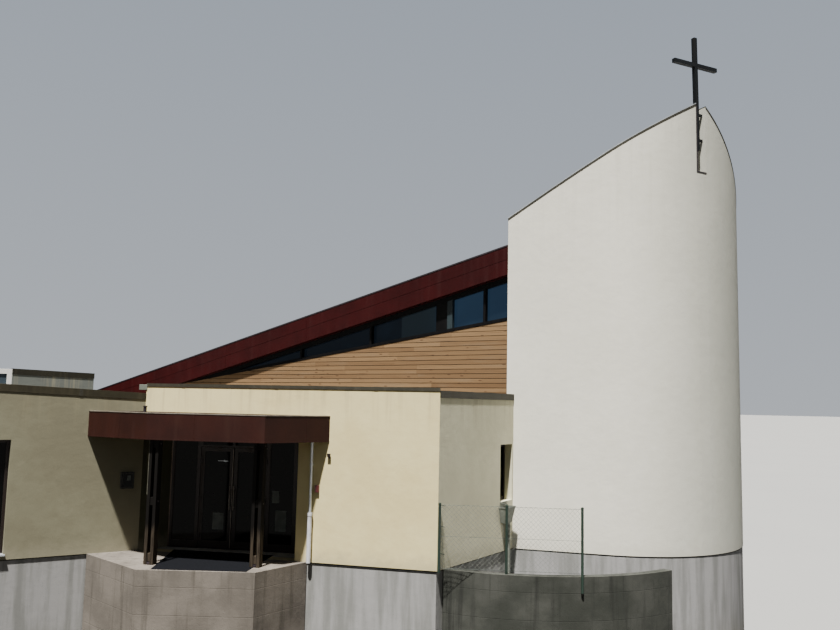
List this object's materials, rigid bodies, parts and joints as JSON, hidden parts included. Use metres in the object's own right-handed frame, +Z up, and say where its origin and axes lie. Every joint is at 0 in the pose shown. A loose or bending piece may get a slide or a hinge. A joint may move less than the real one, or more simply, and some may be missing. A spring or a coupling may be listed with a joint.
{
  "type": "modern church building",
  "caption": "Modern church: low rendered annex and wing, timber gable under a sloping roof, and a curved tower whose rim climbs to a slot holding a cross. The entrance doors swing outward.",
  "frame": {"origin": "centre of the plan bounding box at the lower ground level, the lowest point where the walls meet the ground", "axes": "+X towards the right and +Y away, as seen in the picture; +Z up"},
  "size_m": [26.1306, 22.7094, 14.0204],
  "materials": {
    "canopy": "dark brown coated sheet",
    "concrete": "bare concrete",
    "coping": "grey-brown coated sheet",
    "darkFrame": "dark brown frames",
    "fascia": "dark red coated sheet",
    "fence": "dark green coated wire and posts",
    "glass": "tinted glass",
    "render": "matt cream render",
    "roofing": "grey sheet roofing",
    "shadedRender": "matt cream render, darker",
    "steel": "dark steel",
    "timber": "horizontal softwood boards",
    "towerRender": "matt white-cream render",
    "weatheredConcrete": "weathered dark concrete",
    "zinc": "pale metal"
  },
  "bodies": {
    "building": {"annex_front_coping": "coping", "annex_front_wall": "render", "annex_roof": "roofing", "annex_side_coping": "coping", "annex_side_wall": "render", "canopy": "canopy", "canopy_post_left": "timber", "canopy_post_right": "timber", "clerestory_frame": "darkFrame", "clerestory_glass": "glass", "entrance_base_wall": "concrete", "entrance_lintel_wall": "render", "entrance_platform": "concrete", "fence_bay_left": "fence", "fence_bay_right": "fence", "front_downpipe": "zinc", "gable_wall": "timber", "hall_back_wall": "render", "hall_coping": "coping", "hall_east_wall": "render", "hall_front_wall": "render", "hall_roof": "roofing", "hall_west_wall": "render", "hall_window": "zinc", "light_well_wall": "weatheredConcrete", "low_floor": "concrete", "nave_back_wall": "render", "nave_back_window_glass": "glass", "nave_east_wall": "render", "nave_floor": "concrete", "nave_roof": "roofing", "nave_west_wall": "render", "rear_fascia": "fascia", "recess_left_wall": "shadedRender", "recess_right_wall": "shadedRender", "screen_side_light_left": "darkFrame", "screen_side_light_right": "darkFrame", "screen_transom": "darkFrame", "side_rain_hopper": "zinc", "side_window": "darkFrame", "tower_capping_fall": "coping", "tower_capping_rise": "coping", "tower_cross": "steel", "tower_front_wall": "towerRender", "tower_roof": "roofing", "tower_round_wall_1": "towerRender", "tower_round_wall_2": "towerRender", "tower_round_wall_3": "towerRender", "tower_round_wall_4": "towerRender", "verge_fascia": "fascia", "west_window_glass": "glass", "wing_coping": "coping", "wing_front_wall": "shadedRender", "wing_roof": "roofing", "wing_west_wall": "render", "wing_window": "darkFrame"},
    "door_left": {"door_leaf_left": "darkFrame"},
    "door_right": {"door_leaf_right": "darkFrame"}
  },
  "joints": [
    {"name": "door_left_hinge", "type": "hinge", "parent": "building", "child": "door_left", "pos_m": [-0.48975, -8.35032, 2.3], "axis": [0, 0, 1], "range_deg": [-90, 0]},
    {"name": "door_right_hinge", "type": "hinge", "parent": "building", "child": "door_right", "pos_m": [0.96751, -8.6167, 2.3], "axis": [0, 0, 1], "range_deg": [0, 90]}
  ]
}
